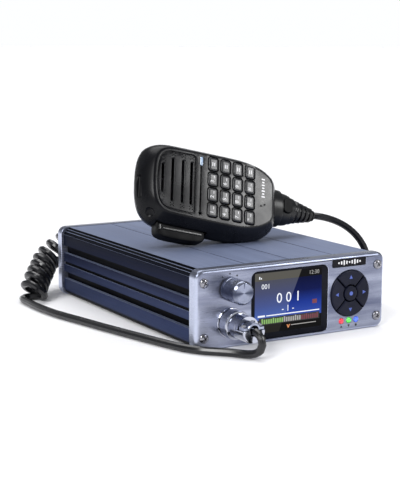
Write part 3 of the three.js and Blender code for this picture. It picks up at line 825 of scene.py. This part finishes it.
def make_front_plate():
    holes = [
        rounded(LENS.x, LENS.z, LENS_SIZE[0] + 0.4, LENS_SIZE[1] + 0.4, LENS_CORNER + 0.2, 8),
        rounded(BADGE.x, BADGE.z, BADGE_SIZE[0] + 0.3, BADGE_SIZE[1] + 0.3, 0.9, 3),
        circle(KNOB.x, KNOB.z, 4, 24),
        circle(SOCKET.x, SOCKET.z, 8.1, 48),
        circle(PAD.x, PAD.z, PAD_RADIUS + GAP, 64),
        *[node_hole(f"status_lamp_{color}", 0.15, 20) for color in ("red", "green", "blue")],
    ]
    make_plate("front_plate", "front_panel", on_panel, holes)


def make_rear_plate():
    inlet, antenna = middle("power_inlet"), middle("antenna_socket")
    holes = [rounded(inlet.x, inlet.z, 20.6, 14.6, 1.5, 3), circle(antenna.x, antenna.z, 6.3, 32)]
    make_plate("rear_plate", "rear_panel", on_rear, holes)


SCREW_SPOTS = [(middle(f"front_screw_{i}").x, middle(f"front_screw_{i}").z) for i in range(1, 5)]
make_front_plate()
make_rear_plate()


# ---- Screws ----
def make_screw(name, node, x, z, place, turn):
    """A pan head with a flange and a cross recess."""
    bm = bmesh.new()
    profile = [(3.05, -0.15), (3.05, -0.55), (2.9, -0.75), (2.45, -1.2), (1.8, -1.62), (0.9, -1.85)]
    form(bm, circle(x, z, 1, 32), [(2.05, -0.02), *[(r - 1, depth) for r, depth in profile]], place)
    screw = finish_piece(name, bm, STEEL, "radio", (node,), "steel")
    blades = []
    for width, height in ((3.3, 0.62), (0.62, 3.3)):
        points = rounded(0, 0, width, height, 0.2, 2)
        spun = [Matrix.Rotation(turn, 2) @ p + Vector((x, z)) for p in points]
        blades.append(cutter(spun, [(0, -2.4), (-0.12, -0.7)], place))
    cut(screw, *blades)


for i, (x, z) in enumerate(SCREW_SPOTS):
    turn = math.radians((28, 62, 15, 40)[i])
    make_screw(f"front_screw_head_{i + 1}", f"front_screw_{i + 1}", x, z, on_panel, turn)
    make_screw(f"rear_screw_head_{i + 1}", f"rear_screw_{i + 1}", x, z, on_rear, turn)


# ---- Display ----
def screen_box(left, low, right, high):
    """A rectangle in shares of the screen's width and height."""
    width, height = SCREEN_SIZE
    x0, z0 = SCREEN.x - width / 2, SCREEN.y - height / 2
    return rounded(
        x0 + width * (left + right) / 2, z0 + height * (low + high) / 2,
        width * (right - left), height * (high - low), 0.05, 1,
    )


def lit(name, outline, material, layer=1):
    """A flat mark of light on the screen."""
    top = -0.03 - 0.02 * layer
    plain(name, outline, [(0, top), (0, top + 0.015)], on_panel, material, "radio", slot="screen")


def on_screen(x, z, depth):
    return on_panel(x, z, depth - 0.06)


def lit_digits(name, text, size, x, z, material):
    width, height = SCREEN_SIZE
    at = (SCREEN.x + width * (x - 0.5), SCREEN.y + height * (z - 0.5))
    writing(name, text, size, on_screen, material, "radio", at=at, thick=0.02, slot="screen")


def make_display():
    width, height = LENS_SIZE
    lens = rounded(LENS.x, LENS.z, width, height, LENS_CORNER, 8)
    plain(
        "display_window", lens, [(-0.3, 0), (-0.08, 0.06), (0, 0.3), (0, 1.8)], on_panel, LENS_BLACK,
        "radio", replaces=("display_lens",), slot="display_glass",
    )
    screen = rounded(*SCREEN, *SCREEN_SIZE, 0.4, 3)
    flat = [(0, -0.02), (0, 0.02)]
    plain("screen_image", screen, flat, on_panel, SCREEN_PICTURE, "radio", slot="screen")
    lit("screen_line", screen_box(0.17, 0.275, 0.97, 0.292), GLOW_WHITE)
    lit("screen_meter_back", screen_box(0.06, 0.135, 0.97, 0.25), GLOW_DARK)
    lit("screen_volume_mark", screen_box(0.045, 0.268, 0.15, 0.298), GLOW_WHITE)
    cells = 26
    for i in range(cells):
        start = 0.1 + 0.86 * i / cells
        share = i / cells
        material = GLOW_GREEN if share < 0.36 else GLOW_GREY if share < 0.66 else GLOW_RED
        high = 0.225 if i % 5 else 0.238
        lit(f"screen_meter_{i + 1}", screen_box(start, 0.15, start + 0.022, high), material, 2)
    lit("screen_signal_mark", screen_box(0.06, 0.9, 0.075, 0.945), GLOW_WHITE)
    lit("screen_signal_tip", screen_box(0.085, 0.9, 0.1, 0.925), GLOW_WHITE)
    lit_digits("screen_channel", "0 0 1", 9, 0.5, 0.55, GLOW_WHITE)
    lit_digits("screen_small_channel", "001", 4.4, 0.16, 0.77, GLOW_WHITE)
    lit_digits("screen_zone", "- 1 -", 5.6, 0.49, 0.37, GLOW_WHITE)
    lit_digits("screen_clock", "12:30", 3.6, 0.88, 0.93, GLOW_GREY)
    lit("screen_red_mark", screen_box(0.86, 0.4, 0.93, 0.47), GLOW_RED)
    lit("screen_foot_line", screen_box(0.54, 0.075, 0.92, 0.088), GLOW_GREY)
    tick = ((-1.3, 1), (-0.5, 1), (0, -0.2), (0.5, 1), (1.3, 1), (0.35, -1.1), (-0.35, -1.1))
    spot = Vector((SCREEN.x, SCREEN.y - SCREEN_SIZE[1] * 0.43))
    lit("screen_tick", [spot + Vector(p) for p in tick], GLOW_ORANGE)


SCREEN_PICTURE = screen_picture()
make_display()


# ---- Badge and lamps ----
def make_badge():
    outline = rounded(BADGE.x, BADGE.z, *BADGE_SIZE, 0.7, 4)
    profile = [(-0.25, -0.2), (-0.06, -0.14), (0, 0), (0, 0.5)]
    more = {"replaces": ("badge_plate",), "slot": "badge"}
    plain("badge", outline, profile, on_panel, BADGE_BLACK, "radio", **more)
    for i, height in enumerate((1.2, 2.2, 3.2, 2.2, 1.2, 2.2, 3.2, 2.2, 1.2)):
        bar = rounded(BADGE.x + 2.1 * (i - 4), BADGE.z, 1.1, height, 0.3, 2)
        plain(f"badge_bar_{i + 1}", bar, [(0, -0.24), (0, -0.18)], on_panel, INK_WHITE, "radio")


def make_lamp(color, material):
    node = f"status_lamp_{color}"
    profile = [(1.78, -1), (1.78, 0), (1.7, 0.25), (1.45, 0.5), (1.05, 0.68), (0.5, 0.77)]
    centre = middle(node)
    centre.y = FRONT
    name = f"lamp_{color}"
    turned(name, profile, centre, material, "radio", 24, replaces=(node,), slot=name)
    sign = {
        "red": [Vector((-1, -0.8)), Vector((1, -0.8)), Vector((0, 0.9))],
        "green": [Vector((-1, 0.8)), Vector((0, -0.9)), Vector((1, 0.8))],
        "blue": circle(0, 0, 0.85, 16),
    }[color]
    spot = Vector((centre.x, centre.z - 3.6))
    mark(f"mark_{color}", [p + spot for p in sign])


make_badge()
for color, material in (("red", RED), ("green", GREEN), ("blue", BLUE)):
    make_lamp(color, material)


# ---- Volume knob ----
def make_knob():
    centre = Vector((KNOB.x, FRONT, KNOB.z))
    profile = [
        (3.3, 1.2), (6.9, 1), (7.35, 1.2), (7.4, 1.6), (7.4, 3.4), (7.2, 3.6), (7.2, 4), (7.4, 4.2),
        (7.4, 15.1), (7.3, 15.5), (6.2, 16.75), (5.9, 16.9), (5.5, 16.8), (2.5, 16.5), (0.3, 16.4),
    ]
    more = {"replaces": ("volume_knob",), "slot": "chrome"}
    knob = turned("knob", profile, centre, KNOB_METAL, "knob", 64, **more)
    groove = rounded(KNOB.x, KNOB.z + 5.2, 0.8, 4.6, 0.35, 3)
    cut(knob, cutter(groove, [(0, -18), (-0.1, -16.2)], on_panel))
    for i in range(9):
        angle = math.radians(225 - 270 * i / 8)
        spot = (KNOB.x + 9.3 * math.cos(angle), KNOB.z + 9.3 * math.sin(angle))
        if spot[1] > KNOB.z + 4:
            mark(f"volume_dot_{i + 1}", circle(*spot, 0.35 + 0.05 * i, 12))


make_knob()
paint(STEEL, "volume_control")


# ---- Key pad ----
def sector(radius, inner, inset):
    """The upper quarter of a ring, its straight sides moved in by inset."""
    sides = []
    for reach, steps in ((radius, 14), (inner, 8)):
        lean = math.radians(45) - math.asin(inset / reach)
        sides.append(arc(0, 0, reach, math.pi / 2 - lean, math.pi / 2 + lean, steps))
    return [*sides[0], *reversed(sides[1])]


def make_pad():
    key = sector(PAD_RADIUS, 5.6, 0.6 / math.sqrt(2))
    arrow = [Vector((-1.25, -1)), Vector((1.25, -1)), Vector((0, 1.35))]
    for i, name in enumerate(("up", "left", "down", "right")):
        body = f"pad_key_{name}"
        spin = Matrix.Rotation(math.pi / 2 * i, 2)
        centre = Vector((PAD.x, PAD.z))
        outline = [spin @ p + centre for p in key]
        profile = [(-1.1, -1.2), (-0.55, -1.12), (-0.15, -0.8), (0, -0.4), (0, 6.5)]
        plain(f"key_{name}", outline, profile, on_panel, PAD_NAVY, body, replaces=(body,), slot="pad_key")
        sign = [spin @ (p + Vector((0, 10.6))) + centre for p in arrow]
        plain(f"arrow_{name}", sign, [(0, -1.24), (0, -1.16)], on_panel, ARROW_BLUE, body)
    cap = [(4.95, -6), (4.95, 0.9), (4.75, 1.35), (4.2, 1.62), (3, 1.7), (0.4, 1.72)]
    centre = Vector((PAD.x, FRONT, PAD.z))
    body = "pad_key_centre"
    turned("key_centre", cap, centre, PAD_NAVY, body, 40, replaces=(body,), slot="pad_key")
    dot = circle(PAD.x, PAD.z, 1.35, 24)
    plain("dot_centre", dot, [(0, -1.76), (0, -1.66)], on_panel, ARROW_BLUE, body)


make_pad()


# ---- Microphone socket and plug ----
def knurl(angle, distance):
    """36 shallow ribs round the middle of the plug's ring."""
    return 1 + (0.012 * math.cos(36 * angle) if 3 < distance < 8.6 else 0)


def chromed(name, profile, node, body="radio", segments=64, wave=None):
    """A plated part turned on the socket's axis."""
    centre = Vector((SOCKET.x, FRONT, SOCKET.z))
    return turned(name, profile, centre, CHROME, body, segments, wave, replaces=(node,), slot="chrome")


def make_plug():
    """The socket's flange, the coupling ring and the plug's body with a flat for the clamp."""
    flange = [(7.8, -8), (7.8, 0), (9.5, 0.02), (9.6, 0.3), (9.6, 1.1), (9.3, 1.5), (7.5, 1.6), (7.5, 3)]
    chromed("socket_flange", flange, "mic_socket")
    ring_profile = [
        (8.2, 2), (8.8, 2.1), (9, 2.5), (9, 3), (8.9, 3.3), (8.9, 8.3), (9, 8.5), (9, 9.2),
        (8.7, 9.8), (7.9, 10), (7.8, 9.7),
    ]
    chromed("plug_ring", ring_profile, "plug_coupling_nut", "coupling_nut", 144, knurl)
    shell = [
        (6, 3), (6, 9.6), (6.6, 10.2), (7.3, 10.3), (7.7, 10.8), (7.7, 17), (7.55, 17.2), (7.55, 17.8),
        (7.7, 18), (7.7, 27.2), (7.3, 27.9), (6.9, 28),
    ]
    body = chromed("plug_body", shell, "plug_shell")
    seat = cutter(rounded(SOCKET.x, SOCKET.z + 5.2, 18, 9.4, 0.3, 2), [(0, -29), (0, -20.8)], on_panel)
    bore = cutter(circle(SOCKET.x, SOCKET.z, 3, 24), [(0, -29), (0, -12)], on_panel)
    cut(body, seat, bore)


def make_clamp():
    """A saddle over the cord, held by two small screws."""
    x, base = SOCKET.x, SOCKET.z + 0.7
    reach, thick, hoop = 7, 1.9, 4.5
    lean = math.asin(thick / hoop)
    outline = [
        Vector((x - reach, base)), *arc(x, base, 2.9, math.pi, 0), Vector((x + reach, base)),
        Vector((x + reach, base + thick)), *arc(x, base, hoop, lean, math.pi - lean),
        Vector((x - reach, base + thick)),
    ]
    profile = [(-0.25, -27.7), (0, -27.4), (0, -21.9), (-0.2, -21.7)]
    more = {"replaces": ("plug_cable_clamp",), "slot": "steel"}
    plain("clamp_saddle", outline, profile, on_panel, SATIN_CHROME, "radio", **more)

    def upright(a, b, depth):
        return Vector((x + a, FRONT - 24.6 + b, base + thick - depth))

    head = [(-0.9, -1.5), (-0.3, -1.4), (0.1, -1.0), (0.1, 0.1)]
    for name, spot in (("left", -5.7), ("right", 5.7)):
        plain(f"clamp_screw_{name}", circle(spot, 0, 1.35, 20), head, upright, STEEL, "radio")


make_plug()
make_clamp()


# ---- Behind the plates ----
paint(BOARD, "front_board", "main_board", "mic_board")
paint(INLET_BLACK, "power_inlet", "lcd_module")
paint(CHROME, "antenna_socket")
paint(STEEL, "mic_speaker")
paint(BRASS, "hang_up_stud")
soften("power_inlet", 0.2)


# ---- Handset ----
def face_outline():
    """The edge of the handset's face: rounded at the earpiece end, narrowing to the cord."""
    start, tip = -58.2, 33
    sides = []
    for half in (23.4, 25.2):
        corners = [
            ((start, 0), (start, half * 0.7), (-55, half * 0.96), (-43, half * 0.975), 14),
            ((-43, half * 0.975), (-28, half * 0.99), (-13, half), (2, half), 10),
            ((2, half), (16, half), (25, half * 0.86), (tip - 2, half * 0.64), 10),
            ((tip - 2, half * 0.64), (tip - 0.6, half * 0.57), (tip, half / 2), (tip, half * 0.36), 5),
            ((tip, half * 0.36), (tip, half * 0.24), (tip, half * 0.12), (tip, 0), 3),
        ]
        side = []
        for a, b, c, d, steps in corners:
            points = interpolate_bezier(*[Vector((*p, 0)) for p in (a, b, c, d)], steps + 1)
            side += [p.xy for p in points[:-1]]
        sides.append([*side, Vector((tip, 0))])
    upper, lower = sides
    return [*reversed(upper), *[Vector((p.x, -p.y)) for p in lower[1:-1]]]


def grille_outline():
    """The face's edge moved in, closed by a straight side before the keys."""
    points = [p for p in offset(FACE, -3.2) if p.x < -29]
    above, below = points[0].y, points[-1].y
    corner = [Vector(p) for p in ((-28.1, below + 0.3), (-27.3, below + 1.1), (-27.1, below + 2.2))]
    return [*points, *corner, *[Vector((p.x, above + below - p.y)) for p in reversed(corner)]]


FACE = face_outline()
GRILLE = grille_outline()


def key_spots():
    """The keys' middles, row by row away from the grille."""
    return [KEY_FIRST + Vector((KEY_PITCH.x * (i // 4), KEY_PITCH.y * (i % 4))) for i in range(16)]


def perforations(x, y, turn, room):
    """A cluster of small holes at a slot's end, none further left of it than room."""
    spots = [(-1.1, 0), (0, 0.9), (1.1, 0), (-1.1, 1.8), (1.1, 1.8)]
    return [circle(x + a, y + turn * b, 0.45, 8) for a, b in spots if a >= -room]


def face_holes():
    """The holes in the face outside the grille, each with its wall's (offset, depth) pairs."""
    well = [(0.25, 0), (0.08, 0.08), (0, 0.3), (0, SHELL_THICK)]
    width, height = (size + 2 * KEY_GAP for size in KEY_SIZE)
    holes = [(rounded(*spot, width, height, 2.1, 4), well) for spot in key_spots()]
    small = (
        rounded(-23, 16.8, 2.2, 6.2, 0.6, 3), rounded(-23.2, -3, 1.0, 32, 0.45, 3),
        rounded(-23.2, -20.3, 2.2, 1.6, 0.6, 3), circle(22.9, -6.3, 0.5, 12), circle(26, -5, 0.5, 12),
    )
    return [*holes, *[(outline, [(0.2, 0), (0, 0.2), (0, SHELL_THICK)]) for outline in small]]


def grille_holes():
    """The grille's slots and perforations, each with its wall's (offset, depth) pairs."""
    holes = []
    for i, (x, length) in enumerate(zip(SLOT_SPOTS, SLOT_LENGTHS)):
        slot = rounded(x, SLOT_MIDDLE, SLOT_WIDTH, length, 0.8, 4)
        holes.append((slot, [(0.7, 0.25), (0.35, 0.32), (0, 0.8), (0, SHELL_THICK)]))
        for sign in (-1, 1):
            for hole in perforations(x, SLOT_MIDDLE + sign * (length / 2 + 1.7), sign, 2 * i):
                holes.append((hole, [(0, 0.25), (0, SHELL_THICK)]))
    return holes


def make_front_shell():
    """Outer skin, inner skin and the pierced face between them."""
    bm = bmesh.new()
    outer = [
        (-1.5, 0), (-0.75, 0.14), (-0.1, 0.5), (0.7, 1.2), (2.2, 2.9), (3.8, 5.1), (5.1, 7.6), (6.0, 10.2),
        (6.4, 12.4), (6.6, 13.6), (6.6, 14.1), (6.35, 14.4),
    ]
    inner = [(4.4, 14.4), (4.2, 12), (3.2, 9.4), (1.2, 5.6), (-1.0, 2.9), (-1.8, SHELL_THICK)]
    edge, lining = wall(bm, FACE, [*outer, *inner], on_shell)
    wells = [wall(bm, *hole, on_shell) for hole in face_holes()]
    groove = [(0.35, 0), (0, 0.2), (0, 0.8), (-0.55, 0.8), (-0.6, 0.4), (-0.9, 0.25)]
    rim, floor = wall(bm, GRILLE, groove, on_shell)
    slots = [wall(bm, *hole, on_shell) for hole in grille_holes()]
    fill(bm, edge, *[first for first, last in wells], rim)
    fill(bm, floor, *[first for first, last in slots])
    fill(bm, lining, *[last for first, last in [*wells, *slots]])
    shell = finish_piece("handset_front", bm, MIC_BLACK, "handset", ("mic_front_shell",), "mic_plastic")
    cut(shell, talk_pocket(), end_slot(), dimple())


def dimple():
    """A round hollow in the corner beside the talk button."""
    bm = bmesh.new()
    centre = on_handset(-58.8, -25.9, 5)
    bmesh.ops.create_icosphere(bm, subdivisions=4, radius=5, matrix=Matrix.Translation(centre))
    return finish_piece("cutter", bm, INK_BLACK, None)


def talk_pocket():
    """The talk button's place in the side."""
    return cutter(rounded(-32.5, -31, 37.4, 12, 1.5, 4), [(0, 7.2), (0, 18.4)], on_handset)


def end_slot():
    """A hollow in the earpiece end."""
    outline = rounded(-65, -6, 5, 17, 2, 4)
    return cutter(outline, [(-0.8, 8), (0, 8.6), (0, 11.6), (-0.8, 12.2)], on_handset)


def make_back_shell():
    """A hollow bowl behind the parting line."""
    profile = [
        (2.2, 14.75), (6.3, 14.75), (6.5, 15.2), (6.1, 17), (4.7, 20.4), (2.4, 24), (-0.4, 27.2),
        (-2.4, 28.9), (-4, HANDSET_BACK - 0.1), (-5.5, HANDSET_BACK),
    ]
    bm = bmesh.new()
    form(bm, FACE, profile, on_shell)
    shell = finish_piece("handset_back", bm, MIC_BLACK, "handset", ("mic_back_shell",), "mic_plastic")
    hollow = cutter(FACE, [(2.1, 12), (2.1, 15.2), (0.8, 20.4), (-2.4, 26), (-5, 27.4)], on_shell)
    stud_hole = cutter(circle(-24, 0, 2, 16), [(0, 20), (0, 40)], on_handset)
    cut(shell, hollow, talk_pocket(), stud_hole)


make_front_shell()
make_back_shell()


KEY_INK = ((0, -KEY_TOP - 0.03), (0, -KEY_TOP + 0.02))


def on_keys(x, y, depth):
    return on_handset(x, y, depth - KEY_TOP)


def make_keys():
    """Keys with a digit or sign and a dash, or with two bars in the last column."""
    names = "one two three a four five six b seven eight nine c star zero hash d".split()
    signs = "123 456 789 *0# "
    for name, sign, spot in zip(names, signs, key_spots()):
        body = f"mic_key_{name}"
        cap = rounded(*spot, *KEY_SIZE, 1.5, 4)
        profile = [(-1.5, -KEY_TOP), (-0.95, -0.58), (-0.45, -0.42), (-0.1, -0.12), (0, 0.3), (0, 2.8)]
        plain(f"keycap_{name}", cap, profile, on_handset, KEY_BLACK, body, replaces=(body,), slot="mic_key")
        if sign == " ":
            for i in (-1, 1):
                bar = rounded(spot.x + 0.7 * i, spot.y - 0.2, 0.6, 2.8, 0.25, 2)
                plain(f"bar_{name}_{i + 1}", bar, KEY_INK, on_handset, INK_WHITE, body)
        else:
            at = (spot.x - 0.6, spot.y - 1.6)
            writing(f"legend_{name}", sign, 3.8, on_keys, INK_WHITE, body, math.pi / 2, at=at)
            dash = rounded(spot.x + 0.6, spot.y + 1.6, 0.4, 2.0, 0.15, 2)
            plain(f"dash_{name}", dash, KEY_INK, on_handset, INK_WHITE, body)


make_keys()


def make_face_marks():
    """The lamp's window and a row of printed bars."""
    window = rounded(-23, 16.8, 2.0, 6.0, 0.5, 4)
    profile = [(-0.3, -0.12), (0, 0.1), (0, 3)]
    more = {"replaces": ("mic_lamp_window",), "slot": "lamp_window"}
    plain("lamp_lens", window, profile, on_handset, WINDOW, "handset", **more)
    for i, height in enumerate((2.6, 1.8, 2.6, 1.8, 2.2, 1.8, 2.6)):
        bar = rounded(24.6, 0.5 + 2.1 * i, height, 1.0, 0.3, 2)
        plain(f"face_bar_{i + 1}", bar, [(0, -0.03), (0, 0.02)], on_handset, INK_WHITE, "handset")


make_face_marks()


# ---- Talk button ----
def make_talk_button():
    """A long rubber bar with a raised ledge along the side that faces the face."""
    side = (
        (-50.4, -27.6), (-50.6, -33), (-50.2, -35.2), (-48.6, -36.9), (-45.4, -37.9), (-39, -38.3),
        (-32, -38.4), (-24, -38.1), (-18.6, -37.3), (-16.2, -36.3), (-15, -34.6), (-14.7, -32),
        (-14.7, -27.6),
    )
    body = "talk_button"
    bar = [(-2.2, 8.4), (-0.8, 8.7), (0, 9.6), (0, 16.4), (-0.6, 17.2), (-1.8, 17.6)]
    more = {"replaces": (body,), "slot": "talk_rubber"}
    plain("talk_bar", [Vector(p) for p in side], bar, on_handset, TALK_RUBBER, body, **more)
    raised = [(-0.6, 7.75), (-0.2, 7.85), (0, 8.2), (0, 9.4)]
    ledge = rounded(-32, -32.2, 29.4, 1.8, 0.8, 5)
    plain("talk_ledge", ledge, raised, on_handset, LEDGE_RUBBER, body)
    tip = rounded(-48.4, -31.6, 1.8, 4.2, 0.8, 5)
    plain("talk_tip", tip, raised, on_handset, LEDGE_RUBBER, body)


make_talk_button()


# ---- Boot ----
def make_boot():
    """The strain relief: a stepped collar that grows out of the case, then ribs down to the cord."""
    profile = [
        (13.6, 9.6, 36), (13.4, 10, 41.2), (13.2, 10, 43.6), (12.8, 9.7, 44), (12, 9.2, 44.2),
        (11.4, 9, 48.4), (10.6, 8.8, 51), (9.7, 8.5, 51.4), (9.3, 8.3, 54.6), (9, 8.2, 55),
        (7.4, 7.4, 55.3), (7.4, 7.4, 56.2),
    ]
    for i in range(4):
        at, radius = 56.6 + i * 3.9, 8.1 - i * 0.95
        profile += [(reach, reach, place) for reach, place in (
            (radius - 0.4, at), (radius, at + 0.3), (radius - 0.2, at + 2.1), (radius - 0.6, at + 2.4),
            (radius - 1.9, at + 2.5), (radius - 1.9, at + 3.6),
        )]
    profile += [(3.9, 3.9, 72), (3.7, 3.7, 73), (3, 3, 73.3)]
    bm = bmesh.new()
    loops = []
    for across, deep, at in profile:
        spots = [on_handset(at, across * p.x, HANDSET_PART - deep * p.y) for p in circle(0, 0, 1, 48)]
        loops.append([bm.verts.new(spot) for spot in spots])
    skin(bm, loops, capped=True)
    finish_piece("boot", bm, BOOT_RUBBER, "handset", ("mic_boot",), "boot_rubber", 40)
    tab = [(-0.5, 4.2), (-0.15, 4.3), (0, 4.6), (0, 8)]
    plain("boot_tab", rounded(47.4, 0, 6.8, 10.4, 2.4, 5), tab, on_handset, TALK_RUBBER, "handset")


make_boot()


# ---- Stage ----
def make_floor():
    """A wide pale floor, out to the horizon."""
    bm = bmesh.new()
    loops = [[bm.verts.new((p.x, p.y, 0)) for p in circle(0, 0, reach, 64)] for reach in (0.3, 1, 4, 14)]
    skin(bm, loops)
    bm.faces.new(loops[0])
    bmesh.ops.recalc_face_normals(bm, faces=bm.faces)
    mesh = bpy.data.meshes.new("floor")
    bm.to_mesh(mesh)
    bm.free()
    look = Look("pale_floor", (0.84, 0.84, 0.86), 0.7)
    look.feed("Roughness", look.spread(look.noise(3, 2), 0.62, 0.78))
    mesh.materials.append(look.material)
    put("floor", mesh)


def soft_sun(name, source, spread, strength):
    """Light from the direction of source, softened over spread degrees."""
    data = bpy.data.lights.new(name, "SUN")
    data.angle = math.radians(spread)
    data.energy = strength
    turn_to(put(name, data), Vector(source).to_track_quat("Z", "Y"))


def area_light(name, place, size, power, target):
    data = bpy.data.lights.new(name, "AREA")
    data.size = size
    data.energy = power
    light = put(name, data)
    light.location = place
    turn_to(light, (Vector(target) - Vector(place)).to_track_quat("-Z", "Y"))


def make_lights():
    """Two large soft sources in front, one overhead and a room that is bright only near the horizon."""
    soft_sun("left_light", (-0.7, -0.35, 0.62), 26, 1.9)
    area_light("right_light", (0.37, -0.5, 0.41), 0.2, 1.7, target=(0.02, -0.04, 0.08))
    soft_sun("top_light", (0.1, 0.35, 1), 55, 2.2)
    world = bpy.data.worlds.new("studio")
    world.use_nodes = True
    tree = world.node_tree
    place = tree.nodes.new("ShaderNodeTexCoord")
    split = tree.nodes.new("ShaderNodeSeparateXYZ")
    height = tree.nodes.new("ShaderNodeMapRange")
    for socket, value in (("From Min", 0.12), ("From Max", 0.32), ("To Min", 1.02), ("To Max", 0.24)):
        height.inputs[socket].default_value = value
    tree.links.new(place.outputs["Generated"], split.inputs["Vector"])
    tree.links.new(split.outputs["Z"], height.inputs["Value"])
    tree.links.new(height.outputs["Result"], tree.nodes["Background"].inputs["Strength"])
    tree.nodes["Background"].inputs["Color"].default_value = (0.97, 0.98, 1.0, 1)
    bpy.context.scene.world = world
    bpy.context.scene.view_settings.view_transform = "Standard"


make_floor()
make_lights()
